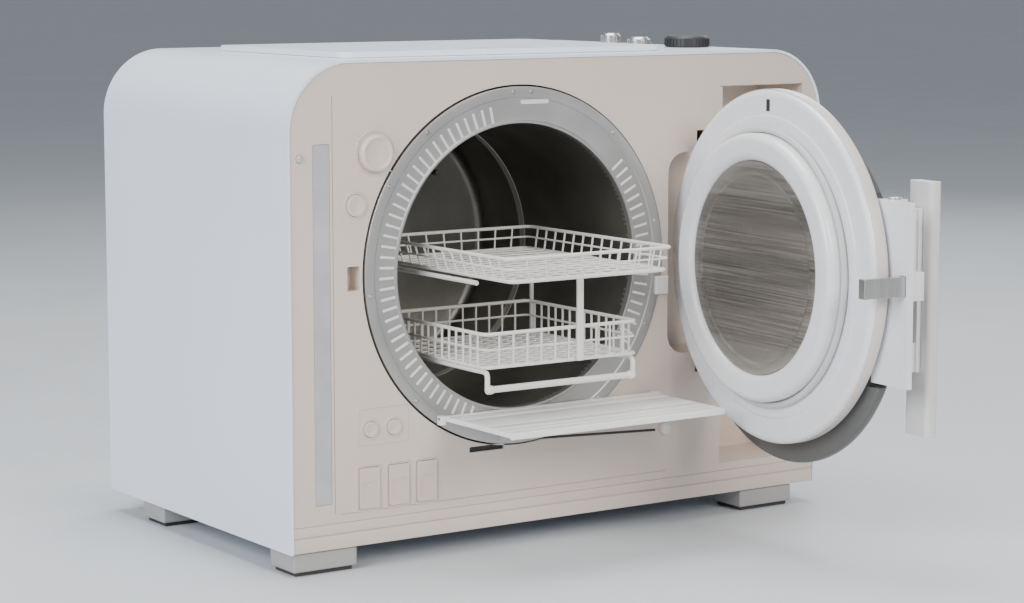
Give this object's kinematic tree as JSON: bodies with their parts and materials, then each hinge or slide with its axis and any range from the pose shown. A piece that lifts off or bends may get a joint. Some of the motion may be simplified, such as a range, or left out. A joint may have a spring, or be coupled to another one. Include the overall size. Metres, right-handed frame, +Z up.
{
  "type": "benchtop steam autoclave",
  "caption": "Benchtop steam autoclave: rounded casing, round chamber with wire trays on a rack, fold-down shelf and side-hinged round door with a pull handle.",
  "frame": {"origin": "on the bench under the middle of the object's bounding box with its door open, at the soles of the feet", "axes": "+X to the right seen from the front, -Y out of the front where the door opens, +Z up"},
  "size_m": [0.556, 0.6493, 0.4298],
  "materials": {
    "white_paint": "satin powder coat",
    "fascia_plastic": "fine-textured moulding",
    "door_white": "satin moulding",
    "cover_grey": "matte moulding",
    "steel": "brushed",
    "ring_metal": "bead blasted",
    "wire_steel": "light epoxy-coated wire",
    "rubber": "silicone",
    "dark_plastic": "moulded",
    "foot_grey": "moulded",
    "smoke_window": "translucent strip",
    "insulation": "glass-fibre blanket",
    "circuit_board": "solder mask",
    "tank_plastic": "blow moulded",
    "brass": "turned"
  },
  "bodies": {
    "housing": {"casing_shell": "white_paint", "front_fascia": "fascia_plastic", "base_sill": "fascia_plastic", "base_tray": "white_paint", "rear_panel": "white_paint", "hinge_bay_liner": "fascia_plastic", "level_window": "smoke_window", "indicator_lens": "smoke_window", "top_lid": "white_paint", "relief_valve_cap": "steel", "vent_cap": "steel", "chamber_vessel": "steel", "chamber_ring": "ring_metal", "insulation_jacket": "insulation", "chamber_cradle": "white_paint", "steam_generator": "steel", "vacuum_pump": "cover_grey", "water_tank": "tank_plastic", "waste_tank": "tank_plastic", "control_board": "circuit_board", "power_supply": "steel", "power_inlet": "dark_plastic", "drain_tap": "brass", "fan_frame": "dark_plastic", "hinge_pin": "steel", "hinge_bracket_upper": "steel", "hinge_bracket_lower": "steel", "shelf_rod": "steel", "shelf_bracket_left": "door_white", "shelf_bracket_right": "door_white", "foot_front_left": "foot_grey", "foot_front_right": "foot_grey", "foot_back_left": "foot_grey", "foot_back_right": "foot_grey"},
    "door": {"door_plate": "door_white", "door_boss": "door_white", "door_gasket": "rubber", "door_window": "steel", "door_cover": "cover_grey", "hinge_arm_upper": "steel", "hinge_arm_lower": "steel", "latch_housing": "door_white", "handle_pin": "steel"},
    "handle": {"handle_bar": "door_white", "handle_bracket": "door_white"},
    "latch": {"latch_tongue": "steel"},
    "rack": {"rack_frame": "wire_steel"},
    "shelf": {"upper_shelf": "wire_steel"},
    "basket": {"lower_basket": "wire_steel"},
    "drop_shelf": {"drop_shelf": "door_white"},
    "knob": {"selector_knob": "fascia_plastic"},
    "cap": {"filler_cap": "dark_plastic"},
    "tap_lever": {"drain_lever": "dark_plastic"},
    "fan": {"fan_rotor": "dark_plastic"},
    "program_key_1": {"program_key_1": "fascia_plastic"},
    "program_key_2": {"program_key_2": "fascia_plastic"},
    "program_key_3": {"program_key_3": "fascia_plastic"},
    "start_key": {"start_key": "fascia_plastic"},
    "minus_key": {"minus_key": "fascia_plastic"},
    "plus_key": {"plus_key": "fascia_plastic"}
  },
  "joints": [
    {"name": "door_hinge", "type": "hinge", "parent": "housing", "child": "door", "pos_m": [0.092, -0.00356, 0.242], "axis": [0, 0, 1], "range_deg": [-85, 5]},
    {"name": "handle_pull", "type": "hinge", "parent": "door", "child": "handle", "pos_m": [0.13217, -0.29015, 0.267], "axis": [0, 0, 1], "range_deg": [-25, 0], "stiffness_Nm_per_rad": 0.6},
    {"name": "latch_slide", "type": "slide", "parent": "door", "child": "latch", "axis": [0.9962, -0.0872, 0], "range_m": [0, 0.006]},
    {"name": "rack_slide", "type": "slide", "parent": "housing", "child": "rack", "axis": [0, 1, 0], "range_m": [-0.008, 0.1225]},
    {"name": "upper_shelf_slide", "type": "slide", "parent": "rack", "child": "shelf", "axis": [0, -1, 0], "range_m": [0, 0.05]},
    {"name": "lower_basket_slide", "type": "slide", "parent": "rack", "child": "basket", "axis": [0, -1, 0], "range_m": [0, 0.05]},
    {"name": "drop_shelf_fold", "type": "hinge", "parent": "housing", "child": "drop_shelf", "pos_m": [-0.02325, -0.03256, 0.119], "axis": [1, 0, 0], "range_deg": [-5.5, 90.5]},
    {"name": "selector_turn", "type": "hinge", "parent": "housing", "child": "knob", "pos_m": [-0.196, -0.02856, 0.3435], "axis": [0, 1, 0], "range_deg": [-135, 135]},
    {"name": "filler_cap_turn", "type": "hinge", "parent": "housing", "child": "cap", "pos_m": [0.198, 0.06644, 0.4195], "axis": [0, 0, 1], "range_deg": [0, 90]},
    {"name": "drain_lever_turn", "type": "hinge", "parent": "housing", "child": "tap_lever", "pos_m": [0.212, 0.31444, 0.0715], "axis": [0, 0, 1], "range_deg": [-90, 0]},
    {"name": "fan_spin", "type": "hinge", "parent": "housing", "child": "fan", "pos_m": [-0.148, 0.28974, 0.3195], "axis": [0, 1, 0], "continuous": true},
    {"name": "program_key_1_press", "type": "slide", "parent": "housing", "child": "program_key_1", "axis": [0, 1, 0], "range_m": [0, 0.0012], "stiffness_N_per_m": 400},
    {"name": "program_key_2_press", "type": "slide", "parent": "housing", "child": "program_key_2", "axis": [0, 1, 0], "range_m": [0, 0.0012], "stiffness_N_per_m": 400},
    {"name": "program_key_3_press", "type": "slide", "parent": "housing", "child": "program_key_3", "axis": [0, 1, 0], "range_m": [0, 0.0012], "stiffness_N_per_m": 400},
    {"name": "start_key_press", "type": "slide", "parent": "housing", "child": "start_key", "axis": [0, 1, 0], "range_m": [0, 0.0012], "stiffness_N_per_m": 400},
    {"name": "minus_key_press", "type": "slide", "parent": "housing", "child": "minus_key", "axis": [0, 1, 0], "range_m": [0, 0.0012], "stiffness_N_per_m": 400},
    {"name": "plus_key_press", "type": "slide", "parent": "housing", "child": "plus_key", "axis": [0, 1, 0], "range_m": [0, 0.0012], "stiffness_N_per_m": 400}
  ],
  "couplings": [
    {"joint": "rack_slide", "follows": "door_hinge", "m_per_rad": -0.082236},
    {"joint": "drop_shelf_fold", "follows": "door_hinge", "ratio": -1.0588},
    {"joint": "latch_slide", "follows": "handle_pull", "m_per_rad": -0.013751}
  ]
}
